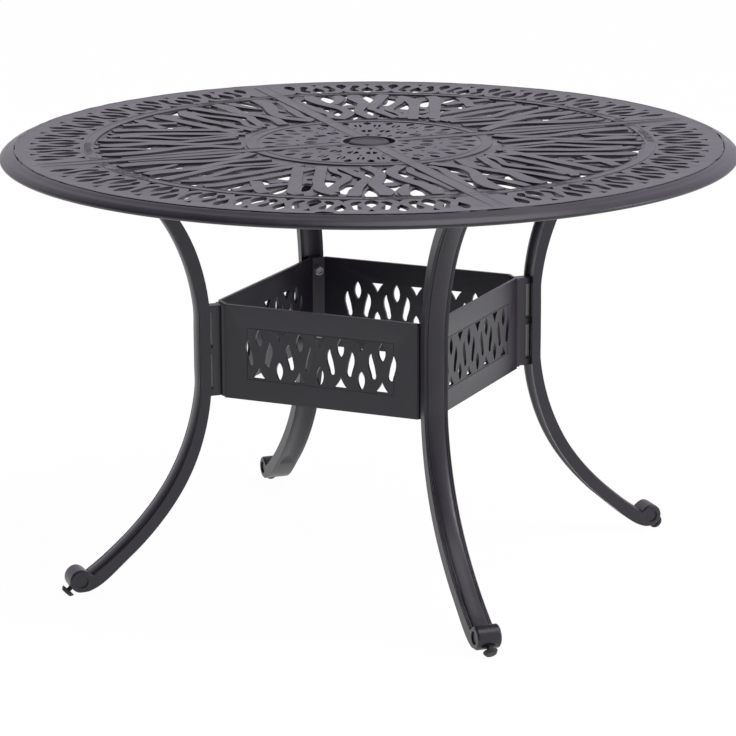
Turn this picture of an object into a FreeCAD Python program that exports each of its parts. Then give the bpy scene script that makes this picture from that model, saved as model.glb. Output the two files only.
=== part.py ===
import FreeCAD, Part
import Sketcher
import math
import os

# Round patio table of cast aluminium: a pierced top with an umbrella hole, four sweeping legs,
# and a square apron of pierced panels. Millimetres, +Z up, floor at z = 0, origin under the
# middle of the top. The legs and the two crossed bars of the top lie on the X and Y axes.

os.makedirs("parts", exist_ok=True)
doc = FreeCAD.newDocument("umbrella_table")
V = FreeCAD.Vector
UP = V(0, 0, 1)

# Driving dimensions
SIZES = {
    "table_height": 728,
    "top_radius": 609.6,
    "plate_thickness": 7,
    "rim_width": 46.6,
    "rim_roll_width": 22,
    "rim_depth": 20.5,
    "rim_wall": 12,
    "rim_lap": 4,
    "rim_foot_slope": 3,
    "border_width": 91,
    "medallion_radius": 205,
    "bar_width": 24,
    "bar_depth": 12,
    "bar_lap": 3,
    "hub_radius": 49,
    "hub_depth": 34,
    "recess_radius": 43.5,
    "recess_depth": 6,
    "umbrella_radius": 26,
    "socket_radius": 28,
    "socket_depth": 15,
    "plug_clearance": 0.3,
    "cap_radius": 33,
    "cap_height": 6.5,
    "cap_dish_radius": 26,
    "cap_dish_depth": 1.2,
    "cap_dish_slope": 1,
    "cap_edge": 2,
    "plug_length": 14,
    "plug_wall": 2.5,
    "leg_width": 41,
    "shank_radius": 295.2,
    "shank_drop": 265,
    "shank_length": 130,
    "shank_depth": 16,
    "sweep_depth": 19.3,
    "upper_reach": 124,
    "lower_reach": 157.2,
    "lower_drop": 275,
    "crown_width": 28,
    "crown_height": 1.6,
    "channel_width": 28,
    "channel_depth": 7,
    "scroll_radius": 19.5,
    "scroll_centre_radius": 516.4,
    "eye_radius": 11,
    "eye_depth": 2.5,
    "seat_drop": 20,
    "seat_inset": 6,
    "seat_length": 84,
    "seat_width": 34,
    "flange_thickness": 8,
    "seat_bolt_spacing": 62,
    "pad_width": 31,
    "pad_thickness": 5,
    "web_width": 18,
    "web_margin": 3,
    "web_lap": 1,
    "slot_width": 6,
    "slot_length": 60,
    "apron_reach": 196,
    "apron_top_drop": 251,
    "apron_height": 159,
    "panel_thickness": 5,
    "panel_half_length": 173.5,
    "field_length": 266,
    "field_height": 88,
    "field_line": 1.6,
    "field_line_depth": 0.8,
    "oval_drop": 18.5,
    "triangle_drop": 3,
    "bolt_radius": 4,
    "bolt_clearance": 0.5,
    "bolt_play": 0.02,
    "bolt_head_width": 13,
    "bolt_head_height": 5.3,
    "bolt_thread_length": 12,
    "bolt_end_gap": 1,
    "washer_radius": 8,
    "washer_thickness": 1.6,
    "corner_bolt_edge": 23,
    "glide_tilt": 45,
    "glide_radius": 11.8,
    "glide_nose_radius": 8.7,
    "glide_thickness": 6.7,
    "glide_gap": 5.8,
    "glide_edge": 2,
    "stem_radius": 4,
    "stem_length": 16,
    "stem_clearance": 0.05,
    "bushing_radius": 6.5,
    "bushing_length": 26,
    "bushing_inset": 0.6,
}

sizes = doc.addObject("Spreadsheet::Sheet", "sizes")
for row, (alias, value) in enumerate(SIZES.items(), start=1):
    sizes.set(f"A{row}", alias)
    sizes.set(f"B{row}", str(value))
    sizes.setAlias(f"B{row}", alias)
doc.recompute()


def size(alias):
    """Value of one driving dimension."""
    return float(sizes.get(alias))


def formula(text):
    """Expression on the sheet: every word in the text is one of its aliases."""
    words = []
    for word in text.split():
        words.append(f"sizes.{word}" if word in SIZES else word)
    return " ".join(words)


def make(kind, name, at=("0", "0", "0"), turn=None, **bound):
    """Object of the document with its sizes and its place bound to the sheet."""
    piece = doc.addObject(kind, name)
    if turn:
        piece.Placement = FreeCAD.Placement(V(0, 0, 0), FreeCAD.Rotation(turn[0], turn[1]))
    for axis, text in zip("xyz", at):
        if text != "0":
            piece.setExpression(f"Placement.Base.{axis}", formula(text))
    for prop, text in bound.items():
        piece.setExpression(prop, formula(text))
    return piece


def box(name, length, width, height, at):
    """Box whose corner with the lowest coordinates is at the given place."""
    return make("Part::Box", name, at, Length=length, Width=width, Height=height)


def cylinder(name, radius, height, at, turn=None):
    """Cylinder along its own Z, from the given place."""
    return make("Part::Cylinder", name, at, turn, Radius=radius, Height=height)


def join(name, pieces):
    """Union of several objects."""
    union = doc.addObject("Part::MultiFuse", name)
    union.Shapes = pieces
    union.Refine = False
    return union


def cut(name, base, tools):
    """First object less all the others."""
    tool = tools[0] if len(tools) == 1 else doc.addObject("Part::Compound", name + "_tools")
    if len(tools) > 1:
        tool.Links = tools
    result = doc.addObject("Part::Cut", name)
    result.Base = base
    result.Tool = tool
    result.Refine = False
    return result


def outline(name, shape):
    """Flat outline that an extrusion or a revolution is made from."""
    flat = doc.addObject("Part::Feature", name)
    flat.Shape = shape
    return flat


def extrude(name, flat, direction, length, symmetric=False):
    """Straight extrusion whose length is bound to the sheet."""
    solid = doc.addObject("Part::Extrusion", name)
    solid.Base = flat
    solid.DirMode = "Custom"
    solid.Dir = direction
    solid.Solid = True
    solid.Symmetric = symmetric
    solid.setExpression("LengthFwd", formula(length))
    return solid


def turned(name, points):
    """Body turned about its own Z from a closed outline of (radius, height) formulas."""
    body = doc.addObject("PartDesign::Body", name)
    sketch = body.newObject("Sketcher::SketchObject", name + "_section")
    plane = [item for item in body.Origin.OriginFeatures if item.Role == "XZ_Plane"][0]
    sketch.AttachmentSupport = (plane, "")
    sketch.MapMode = "FlatFace"
    count = len(points)
    for index in range(count):
        sketch.addGeometry(Part.LineSegment(V(index, index * index + 1, 0),
                                            V(index + 1, (index + 1) ** 2 + 1, 0)), False)
    for index in range(count):
        sketch.addConstraint(Sketcher.Constraint("Coincident", index, 2, (index + 1) % count, 1))
    for index, pair in enumerate(points):
        for kind, axis, text in zip(("DistanceX", "DistanceY"), (-2, -1), pair):
            if text == "0":
                sketch.addConstraint(Sketcher.Constraint("PointOnObject", index, 1, axis))
            else:
                number = sketch.addConstraint(Sketcher.Constraint(kind, -1, 1, index, 1, 1.0))
                sketch.setExpression(f"Constraints[{number}]", formula(text))
    turn = body.newObject("PartDesign::Revolution", name + "_turn")
    turn.Profile = sketch
    turn.ReferenceAxis = (sketch, ["V_Axis"])
    turn.Angle = 360
    body.Tip = turn
    return body


def name_part(piece, label):
    """Marks a finished sub-part: its label is its file's name."""
    piece.Label = label
    finished.append(piece)
    return piece


def place(label, base, azimuth):
    """Repeat of a piece turned about the table's axis."""
    link = doc.addObject("App::Link", label)
    link.setLink(base)
    link.Placement = FreeCAD.Placement(V(0, 0, 0), FreeCAD.Rotation(UP, azimuth))
    return link


def group(label, links):
    """Several equal solids in one sub-part."""
    together = doc.addObject("Part::Compound", label)
    together.Links = links
    return name_part(together, label)


finished = []
SIDES = {"right": 0, "rear": 90, "left": 180, "front": 270}
CORNERS = {"rear_right": 45, "rear_left": 135, "front_left": 225, "front_right": 315}

# Curves through points

TIP = "tip"
ARC_TOLERANCE = 0.4


def straight(start, end):
    """Straight edge between two points."""
    return Part.LineSegment(start, end).toShape()


def smooth(points):
    """Smooth edge through the points."""
    if len(points) == 2:
        return straight(points[0], points[1])
    curve = Part.BSplineCurve()
    curve.interpolate(points)
    return curve.toShape()


def arcs(points, closed=False):
    """Edges of a smooth run of circular arcs through the points."""
    if len(points) == 2:
        return [straight(points[0], points[1])]
    curve = Part.BSplineCurve()
    if closed:
        curve.interpolate(Points=points, PeriodicFlag=True)
    else:
        curve.interpolate(points)
    return [arc.toShape() for arc in curve.toBiArcs(ARC_TOLERANCE)]


def loop(points):
    """Closed wire through points; an entry with a third item TIP is a sharp corner."""
    spots = [V(entry[0], entry[1], 0) for entry in points]
    tips = [index for index, entry in enumerate(points) if len(entry) == 3]
    if not tips:
        return Part.Wire(arcs(spots, closed=True))
    edges = []
    for here, following in zip(tips, tips[1:] + [tips[0] + len(spots)]):
        edges += arcs([spots[index % len(spots)] for index in range(here, following + 1)])
    return Part.Wire(edges)


# The top's pattern, drawn once for a sheet of these radii and carried to the real ones

DRAWN_HUB = 45.0
DRAWN_MEDALLION = 205.0
DRAWN_BORDER = 472.0
DRAWN_RIM = 563.0

rim_inner = size("top_radius") - size("rim_width")
border_inner = rim_inner - size("border_width")
DRAWN_RADII = [0.0, DRAWN_HUB, DRAWN_MEDALLION, DRAWN_BORDER, DRAWN_RIM]
SHEET_RADII = [0.0, size("hub_radius"), size("medallion_radius"), border_inner, rim_inner]


def carried(radius):
    """Radius on the sheet of a radius in the drawing."""
    for index in range(1, len(DRAWN_RADII)):
        if radius <= DRAWN_RADII[index] or index == len(DRAWN_RADII) - 1:
            low, high = DRAWN_RADII[index - 1], DRAWN_RADII[index]
            share = (radius - low) / (high - low)
            return SHEET_RADII[index - 1] + share * (SHEET_RADII[index] - SHEET_RADII[index - 1])


def spun(points, azimuth, mirrored):
    """Hole outline carried to the sheet, mirrored across its bar if asked, and turned."""
    result = []
    for entry in points:
        across = -entry[1] if mirrored else entry[1]
        radius = carried(math.hypot(entry[0], across))
        angle = math.atan2(across, entry[0]) + math.radians(azimuth)
        result.append((radius * math.cos(angle), radius * math.sin(angle)) + tuple(entry[2:]))
    return loop(result)


def polar(points):
    """Outline given as (degrees, radius) entries, in bar coordinates."""
    flat = []
    for entry in points:
        angle = math.radians(entry[0])
        flat.append((entry[1] * math.cos(angle), entry[1] * math.sin(angle)) + tuple(entry[2:]))
    return flat


def leaf(degrees, tip_radius, wide_radius, end_radius, half_width, tips=1):
    """Teardrop along a radius: pointed at one end, round or pointed at the other."""
    half = math.degrees(half_width / wide_radius)
    lean = 0.62 * half
    middle = 0.5 * (tip_radius + wide_radius)
    bulge = 0.5 * (wide_radius + end_radius)
    end = (degrees, end_radius, TIP) if tips == 2 else (degrees, end_radius)
    return polar([
        (degrees, tip_radius, TIP),
        (degrees + lean, middle),
        (degrees + half, wide_radius),
        (degrees + 0.8 * half, bulge),
        end,
        (degrees - 0.8 * half, bulge),
        (degrees - half, wide_radius),
        (degrees - lean, middle),
    ])


def wedge(degrees, base_radius, half_width, apex_radius):
    """Small triangle with its base on a ring."""
    half = math.degrees(half_width / base_radius)
    return polar([
        (degrees - half, base_radius, TIP),
        (degrees + half, base_radius, TIP),
        (degrees + 0.25 * half, 0.45 * base_radius + 0.55 * apex_radius),
        (degrees, apex_radius, TIP),
        (degrees - 0.25 * half, 0.45 * base_radius + 0.55 * apex_radius),
    ])


# Holes of one eighth of the petal field: along the bar, across it
EIGHTH_HOLES = [
    [(344, 28, TIP), (358, 38), (378, 33), (402, 31), (418, 37), (427, 40, TIP),
     (421, 26), (405, 20), (385, 19), (362, 23)],
    [(301, 36, TIP), (315, 44), (330, 46), (336, 44, TIP), (322, 34), (310, 34)],
    [(250, 42, TIP), (263, 49), (280, 53), (301, 54, TIP), (289, 43), (276, 35), (262, 36)],
    [(227, 24, TIP), (250, 24, TIP), (243, 15, TIP)],
    [(264, 16, TIP), (276, 21), (289, 20, TIP), (276, 16)],
    [(438, 15, TIP), (455, 30, TIP), (456, 15, TIP)],
    [(375, 63, TIP), (390, 77), (410, 86), (432, 88), (455, 81, TIP), (440, 72), (418, 64),
     (395, 60)],
    [(354, 132, TIP), (370, 143), (390, 153), (412, 158), (436, 156, TIP), (420, 143),
     (400, 135), (376, 130)],
    [(414, 112, TIP), (443, 122, TIP), (446, 107, TIP)],
    [(330, 109), (350, 109), (370, 104), (389, 102, TIP), (374, 92), (362, 82), (353, 70),
     (343, 73), (349, 85), (347, 97), (338, 103)],
    [(275, 75, TIP), (298, 86), (315, 98), (326, 102, TIP), (321, 90), (323, 78, TIP),
     (300, 72)],
    [(230, 91, TIP), (247, 100), (268, 108), (292, 107, TIP), (272, 97), (250, 91)],
    [(280, 124, TIP), (297, 130), (316, 129, TIP), (303, 117), (290, 116)],
    [(318, 150), (330, 165), (350, 182), (370, 186), (388, 179, TIP), (362, 169), (345, 158),
     (328, 144)],
    [(269, 172, TIP), (292, 184), (310, 189), (326, 192, TIP), (308, 176), (291, 160, TIP),
     (278, 162)],
    [(228, 146, TIP), (238, 153), (254, 149, TIP), (240, 143)],
    [(226, 128, TIP), (240, 136), (249, 134, TIP), (240, 126)],
    [(209, 102, TIP), (212, 112), (232, 108, TIP), (222, 100)],
    [(200, 161, TIP), (212, 180), (234, 198, TIP), (226, 183), (224, 172), (210, 164)],
    [(248, 189, TIP), (256, 200), (264, 197), (262, 188)],
    [(280, 207), (300, 224), (322, 234), (342, 240, TIP), (332, 222), (312, 211), (292, 203)],
    [(292, 243, TIP), (308, 262), (325, 282), (347, 291, TIP), (338, 272), (320, 256)],
    [(353, 212, TIP), (370, 226), (378, 246, TIP), (388, 222), (404, 206, TIP), (378, 212)],
    [(210, 50, TIP), (222, 62), (250, 70, TIP), (234, 57)],
]

# Holes on the line midway between two bars
MIDWAY_HOLES = [
    [(203, 203, TIP), (232, 213), (247, 229, TIP), (236, 236), (229, 247, TIP), (213, 232)],
    [(276, 276, TIP), (272, 262), (271, 252, TIP), (267, 240), (267, 229, TIP), (261, 234),
     (259, 241), (258, 259), (241, 259), (234, 261), (229, 267, TIP), (240, 267),
     (252, 271, TIP), (262, 272)],
    [(304, 304, TIP), (326, 315, TIP), (315, 326, TIP)],
    [(150, 165, TIP), (165, 150, TIP), (161, 161, TIP)],
]

BORDER_STEP = 10.0
MEDALLION_STEP = 90.0 / 7.0


def border_slots(axis, sign):
    """The two winding slots beside an inward teardrop of the border."""
    turn = [(-2.65, 488), (-3.62, 506), (-3.24, 524), (-2.9, 541), (-2.45, 549.5),
            (-1.5, 544), (-1.6, 533), (-2.26, 519), (-2.32, 507), (-1.8, 490.5)]
    return polar([(axis + sign * degrees, radius) for degrees, radius in turn])


def quadrant_holes():
    """Holes of the border and the medallion between two bars, in bar coordinates."""
    holes = []
    for index in range(9):
        outward = 5.0 + BORDER_STEP * index
        holes.append(leaf(outward, 511, 541, 561, 9.4))
        holes.append(wedge(outward, 477, 9.4, 495))
    for index in range(1, 9):
        inward = BORDER_STEP * index
        holes.append(leaf(inward, 534, 499, 478, 11.2))
        holes.append(wedge(inward, 560.5, 6.2, 542))
        holes.append(border_slots(inward, 1))
        holes.append(border_slots(inward, -1))
    for index in range(7):
        axis = MEDALLION_STEP * (index + 0.5)
        holes.append(leaf(axis, 151, 167, 177, 6.6))
    for index in range(1, 7):
        axis = MEDALLION_STEP * index
        for sign in (1, -1):
            holes.append(polar([
                (axis + sign * 0.9, 130, TIP),
                (axis + sign * 0.9, 157, TIP),
                (axis + sign * 2.4, 147),
                (axis + sign * 2.2, 137),
            ]))
    for index in range(1, 5):
        axis = 18.0 * index
        for sign in (1, -1):
            holes.append(polar([
                (axis + sign * 1.4, 83, TIP),
                (axis + sign * 1.0, 106, TIP),
                (axis + sign * 4.6, 101),
                (axis + sign * 4.2, 88),
            ]))
        holes.append(leaf(axis, 50, 58, 65, 3.4, tips=2))
    for index in range(5):
        axis = 9.0 + 18.0 * index
        holes.append(wedge(axis, 119.5, 4.6, 111))
    return holes


def quarter_holes():
    """Wires of every hole between the middle lines of two bars."""
    wires = [spun(hole, 0, False) for hole in EIGHTH_HOLES + MIDWAY_HOLES + quadrant_holes()]
    wires += [spun(hole, 90, True) for hole in EIGHTH_HOLES]
    return wires


# The top: pierced plate in four equal quarters, rolled rim, crossed bars, hub and leg seats

top_z = size("table_height")
crease_radius = size("top_radius") - size("rim_roll_width")
plate_outer = crease_radius - size("rim_lap") / 2


def quarter_face():
    """A quarter of the pierced plate, from the hub's recess to the rim."""
    inner = size("recess_radius")
    border = [
        straight(V(inner, 0, 0), V(plate_outer, 0, 0)),
        Part.makeCircle(plate_outer, V(0, 0, 0), UP, 0, 90),
        straight(V(0, plate_outer, 0), V(0, inner, 0)),
        Part.makeCircle(inner, V(0, 0, 0), UP, 0, 90),
    ]
    holes = Part.makeCompound([Part.Face(wire) for wire in quarter_holes()])
    face = Part.Face(Part.Wire(border)).cut(holes)
    face.translate(V(0, 0, top_z))
    return face


quarter = extrude("quarter", outline("quarter_outline", quarter_face()), V(0, 0, -1),
                  "plate_thickness")
quarters = [place("quarter_" + side, quarter, azimuth) for side, azimuth in SIDES.items()]

# The rim's skin, as shares of its roll's width and of its depth
RIM_SHOULDER = [(0.09, 0.117), (0.364, 0.088), (0.682, 0.166), (0.818, 0.317), (0.855, 0.45)]
RIM_LIP = [(0.855, 0.45), (0.964, 0.58), (1.0, 0.76), (0.927, 0.93), (0.773, 1.0)]


def rim_section():
    """Section of the rolled rim, from the flat ring's crease out and under."""
    outer = size("top_radius")
    depth = size("rim_depth")
    wall = size("rim_wall")
    plate = size("plate_thickness")
    slope = size("rim_foot_slope")

    def spot(radius, drop):
        return V(radius, 0, top_z - drop)

    def skin(shares):
        return [spot(crease_radius + out * size("rim_roll_width"), down * depth)
                for out, down in shares]

    flat = spot(crease_radius - size("rim_lap"), 0)
    lip = spot(crease_radius, 0)
    shoulder = skin(RIM_SHOULDER)
    bulge = skin(RIM_LIP)
    foot = spot(outer - wall, depth)
    rise = spot(outer - wall - slope, plate + slope)
    inside = spot(crease_radius - size("rim_lap"), plate)
    edges = [straight(flat, lip), straight(lip, shoulder[0]), smooth(shoulder), smooth(bulge),
             straight(bulge[-1], foot), straight(foot, rise), straight(rise, inside),
             straight(inside, flat)]
    return Part.Face(Part.Wire(edges))


rim = doc.addObject("Part::Revolution", "rim")
rim.Source = outline("rim_outline", rim_section())
rim.Axis = UP
rim.Angle = 360
rim.Solid = True

reach = "( top_radius - rim_width + bar_lap )"
rib_depth = "bar_depth - plate_thickness"
rib_z = "table_height - bar_depth"
ribs = [
    box("rib_x", f"2 * {reach}", "bar_width", rib_depth,
        (f"0 - {reach}", "0 - bar_width / 2", rib_z)),
    box("rib_y", "bar_width", f"2 * {reach}", rib_depth,
        ("0 - bar_width / 2", f"0 - {reach}", rib_z)),
]

seat_middle = size("shank_radius") + size("upper_reach") - size("seat_inset")
seats = []
seat_holes = []
for side, azimuth in SIDES.items():
    seat = make("Part::Box", "seat_" + side, Length="seat_length", Width="seat_width",
                Height="seat_drop - plate_thickness")
    turn = FreeCAD.Rotation(UP, azimuth)
    corner = V(seat_middle - size("seat_length") / 2, -size("seat_width") / 2,
               top_z - size("seat_drop"))
    seat.Placement = FreeCAD.Placement(turn.multVec(corner), turn)
    seats.append(seat)
    for sign in (-1, 1):
        hole = make("Part::Cylinder", f"seat_hole_{side}_{sign + 1}", Radius="bolt_radius",
                    Height="bolt_thread_length")
        spot = V(seat_middle + sign * size("seat_bolt_spacing") / 2, 0,
                 top_z - size("seat_drop"))
        hole.Placement = FreeCAD.Placement(turn.multVec(spot), FreeCAD.Rotation())
        seat_holes.append(hole)
rib_bore = cylinder("rib_bore", "( recess_radius + hub_radius ) / 2", "hub_depth",
                    ("0", "0", "table_height - hub_depth"))
rib_cross = cut("rib_cross", join("ribs_and_seats", ribs + seats), [rib_bore] + seat_holes)
hub = turned("hub", [
    ("0 + umbrella_radius", "0 - hub_depth"),
    ("0 + hub_radius", "0 - hub_depth"),
    ("0 + hub_radius", "0 - plate_thickness"),
    ("0 + recess_radius", "0 - plate_thickness"),
    ("0 + recess_radius", "0 - recess_depth"),
    ("0 + socket_radius", "0 - recess_depth"),
    ("0 + socket_radius", "0 - recess_depth - socket_depth"),
    ("0 + umbrella_radius", "0 - recess_depth - socket_depth"),
])
doc.recompute()
hub.setExpression("Placement.Base.z", formula("0 + table_height"))
name_part(join("table_top_body", quarters + [rim, rib_cross, hub]), "table_top")

# The cap that closes the umbrella hole

plug = "socket_radius - plug_clearance"
cap_bore = "socket_radius - plug_clearance - plug_wall"
cap = turned("cap_body", [
    ("0", "0 + cap_height - cap_dish_depth"),
    ("cap_dish_radius - cap_dish_slope", "0 + cap_height - cap_dish_depth"),
    ("0 + cap_dish_radius", "0 + cap_height"),
    ("cap_radius - cap_edge", "0 + cap_height"),
    ("0 + cap_radius", "cap_height - cap_edge"),
    ("0 + cap_radius", "0"),
    (plug, "0"),
    (plug, "0 - plug_length"),
    (cap_bore, "0 - plug_length"),
    (cap_bore, "0"),
    ("0", "0"),
])
doc.recompute()
cap.setExpression("Placement.Base.z", formula("table_height - recess_depth"))
name_part(cap, "umbrella_hole_cap")

# One leg, drawn at azimuth 0: sweep, shank, sweep and scroll, in radius and height

SWEEP_SHAPE = [(0.0, 0.0), (0.27, 0.09), (0.56, 0.31), (0.78, 0.594), (1.0, 1.0)]
SWEEP_STEPS = 8
SWEEP_FLARE = 2.5
STRIP_LAP = 2.0
STRIP_FADE = 0.5

shank_r = size("shank_radius")
shank_top = top_z - size("shank_drop")
shank_foot = shank_top - size("shank_length")
seat_z = top_z - size("seat_drop")
flange_z = seat_z - size("flange_thickness")
upper_rise = seat_z - shank_top
tilt = math.radians(size("glide_tilt"))
glide_rims = [(size("glide_gap") + size("glide_edge"), size("glide_radius")),
              (size("glide_gap") + size("glide_thickness"), size("glide_nose_radius"))]
scroll_z = max((size("scroll_radius") + out) * math.sin(tilt) + radius * math.cos(tilt)
               for out, radius in glide_rims)
scroll = V(size("scroll_centre_radius"), 0, scroll_z)


def sweep_line(drop, reach, start_z, sign):
    """Centre line of a sweep that leaves the shank upright."""
    points = [V(shank_r + reach * out, 0, start_z + sign * drop * along)
              for along, out in SWEEP_SHAPE]
    curve = Part.BSplineCurve()
    curve.interpolate(points)
    return curve


def sweep_edge(curve, side, extra=0.0):
    """Points beside a sweep, half its depth away on the outer (+1) or inner (-1) side."""
    first, last = curve.FirstParameter, curve.LastParameter
    points = []
    for step in range(SWEEP_STEPS + 1):
        share = step / SWEEP_STEPS
        spot = curve.value(first + share * (last - first))
        along = curve.tangent(first + share * (last - first))[0]
        across = V(abs(along.z), 0, -math.copysign(1, along.z) * along.x)
        if step == 0:
            across = V(1, 0, 0)
        half = 0.5 * (size("shank_depth") + (size("sweep_depth") - size("shank_depth"))
                      * min(1.0, SWEEP_FLARE * share))
        points.append(spot + across * (side * (half + extra)))
    return points


upper_line = sweep_line(upper_rise, size("upper_reach"), shank_top, 1)
lower_line = sweep_line(size("lower_drop"), size("lower_reach"), shank_foot, -1)


def outer_points(extra=0.0):
    """Outer edge from the seat down to the scroll."""
    points = list(reversed(sweep_edge(upper_line, 1, extra)))
    points += sweep_edge(lower_line, 1, extra)
    return points


def inner_points(extra=0.0):
    """Inner edge from the seat down to the scroll."""
    points = list(reversed(sweep_edge(upper_line, -1, extra)))
    points += sweep_edge(lower_line, -1, extra)
    return points


def on_scroll(degrees, share=1.0):
    """Point on the scroll's outline, in degrees from straight outward, upward positive."""
    angle = math.radians(degrees)
    reach = size("scroll_radius") * share
    return scroll + V(math.cos(angle), 0, math.sin(angle)) * reach


def leg_face():
    """Side outline of the whole leg."""
    outer = outer_points()
    inner = inner_points()
    upper = SWEEP_STEPS + 1
    cusp = on_scroll(158, 0.97)
    sole_start = on_scroll(-88)
    curl = [cusp, on_scroll(125, 0.93), on_scroll(90), on_scroll(45), on_scroll(0),
            on_scroll(-45), sole_start]
    sole = [sole_start, on_scroll(-113, 1.03)] + inner[:upper - 1:-1]
    edges = [smooth(outer[:upper]), straight(outer[upper - 1], outer[upper]),
             smooth(outer[upper:] + [cusp]), smooth(curl), smooth(sole),
             straight(inner[upper], inner[upper - 1]), smooth(inner[upper - 1::-1]),
             straight(inner[0], outer[0])]
    return Part.Face(Part.Wire(edges))


def faded(points, runout):
    """Edge of a strip whose last stretch runs out through the leg's surface."""
    return points[:-1] + runout[-1:]


def strip_face(outer, inner):
    """Outline between two edges that run along the leg."""
    upper = SWEEP_STEPS + 1
    edges = [smooth(outer[:upper]), straight(outer[upper - 1], outer[upper]),
             smooth(outer[upper:]), straight(outer[-1], inner[-1]),
             smooth(inner[:upper - 1:-1]), straight(inner[upper], inner[upper - 1]),
             smooth(inner[upper - 1::-1]), straight(inner[0], outer[0])]
    return Part.Face(Part.Wire(edges))


side_outline = outline("leg_outline", leg_face())
crown_edge = faded(outer_points(size("crown_height")), outer_points(-STRIP_FADE))
channel_edge = faded(inner_points(-size("channel_depth")), inner_points(STRIP_FADE))
crown_outline = outline("crown_outline", strip_face(crown_edge, outer_points(-STRIP_LAP)))
channel_outline = outline("channel_outline", strip_face(channel_edge, inner_points(STRIP_LAP)))
leg_blank = extrude("leg_blank", side_outline, V(0, 1, 0), "leg_width", True)
crown = extrude("leg_crown", crown_outline, V(0, 1, 0), "crown_width", True)
channel = extrude("leg_channel", channel_outline, V(0, 1, 0), "channel_width", True)
hollow_leg = cut("hollow_leg", join("leg_bar", [leg_blank, crown]), [channel])

pad_r = "( apron_reach + panel_half_length ) / 1.4142135623730951"
web_low = "table_height - apron_top_drop - apron_height + web_margin"
web_tall = "apron_height - 2 * web_margin"
pad = box("leg_pad", "pad_thickness", "pad_width", web_tall,
          (pad_r, "0 - pad_width / 2", web_low))
web = box("leg_web", "shank_radius - shank_depth / 2 + channel_depth + web_lap - " + pad_r,
          "web_width", web_tall, (pad_r, "0 - web_width / 2", web_low))
flange = make("Part::Box", "leg_flange", Length="seat_length", Width="seat_width",
              Height="flange_thickness")
flange.Placement.Base = V(seat_middle - size("seat_length") / 2, -size("seat_width") / 2,
                          flange_z)
leg_solid = join("leg_solid", [hollow_leg, pad, web, flange])

leg_cuts = []
leg_cuts.append(box("above_flange", "2 * upper_reach", "2 * leg_width", "3 * seat_drop",
                    ("0 + shank_radius", "0 - leg_width", "table_height - seat_drop")))
slot_gap = "( apron_height - 2 * web_margin - 2 * slot_length ) / 3"
for number in (0, 1):
    low = f"{web_low} + {slot_gap} + {number} * ( slot_length + {slot_gap} )"
    leg_cuts.append(box(f"web_slot_{number}", "slot_width", "2 * web_width", "slot_length",
                        ("shank_radius - shank_depth / 2 - slot_width - web_lap",
                         "0 - web_width", low)))
corner_heights = ("table_height - apron_top_drop - corner_bolt_edge",
                  "table_height - apron_top_drop - apron_height + corner_bolt_edge")
for number, height in enumerate(corner_heights):
    leg_cuts.append(cylinder(f"pad_hole_{number}", "bolt_radius", "bolt_thread_length",
                             (pad_r, "0", height), (V(0, 1, 0), 90)))
for sign in (-1, 1):
    hole = make("Part::Cylinder", f"flange_hole_{sign + 1}",
                Radius="bolt_radius + bolt_clearance", Height="2 * flange_thickness")
    hole.Placement.Base = V(seat_middle + sign * size("seat_bolt_spacing") / 2, 0,
                            flange_z - size("flange_thickness") / 2)
    leg_cuts.append(hole)
for sign in (-1, 1):
    eye = make("Part::Cylinder", f"scroll_eye_{sign + 1}", Radius="eye_radius",
               Height="2 * eye_depth")
    face = sign * (size("leg_width") / 2 - size("eye_depth"))
    eye.Placement = FreeCAD.Placement(scroll + V(0, face, 0),
                                      FreeCAD.Rotation(V(1, 0, 0), -90 * sign))
    leg_cuts.append(eye)

glide_way = V(math.cos(tilt), 0, -math.sin(tilt))
glide_turn = FreeCAD.Rotation(UP, glide_way)
socket = make("Part::Cylinder", "glide_socket", Radius="bushing_radius",
              Height="bushing_length + glide_gap")
socket.Placement = FreeCAD.Placement(
    scroll + glide_way * (size("scroll_radius") - size("bushing_length")), glide_turn)
leg_cuts.append(socket)
leg_form = cut("leg_form", leg_solid, leg_cuts)

# Levelling glide and its bushing, drawn along +Z with the scroll's surface at 0

bushing_form = turned("bushing_form", [
    ("stem_radius + stem_clearance", "0 - bushing_length"),
    ("0 + bushing_radius", "0 - bushing_length"),
    ("0 + bushing_radius", "0 - bushing_inset"),
    ("stem_radius + stem_clearance", "0 - bushing_inset"),
])
glide_form = turned("glide_form", [
    ("0", "0 - stem_length"),
    ("0 + stem_radius", "0 - stem_length"),
    ("0 + stem_radius", "0 + glide_gap"),
    ("0 + glide_radius", "0 + glide_gap"),
    ("0 + glide_radius", "glide_gap + glide_edge"),
    ("0 + glide_nose_radius", "glide_gap + glide_thickness"),
    ("0", "glide_gap + glide_thickness"),
])
doc.recompute()
glide_seat = FreeCAD.Placement(scroll + glide_way * size("scroll_radius"), glide_turn)

for side, azimuth in SIDES.items():
    name_part(place("leg_" + side, leg_form, azimuth), "leg_" + side)
    for label, form in (("glide_bushing_", bushing_form), ("leveling_glide_", glide_form)):
        link = doc.addObject("App::Link", label + side)
        link.setLink(form)
        turn = FreeCAD.Placement(V(0, 0, 0), FreeCAD.Rotation(UP, azimuth))
        link.Placement = turn.multiply(glide_seat)
        name_part(link, label + side)

# Apron: one pierced panel, drawn along X with its outer face towards +Y, and a corner plate

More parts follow.
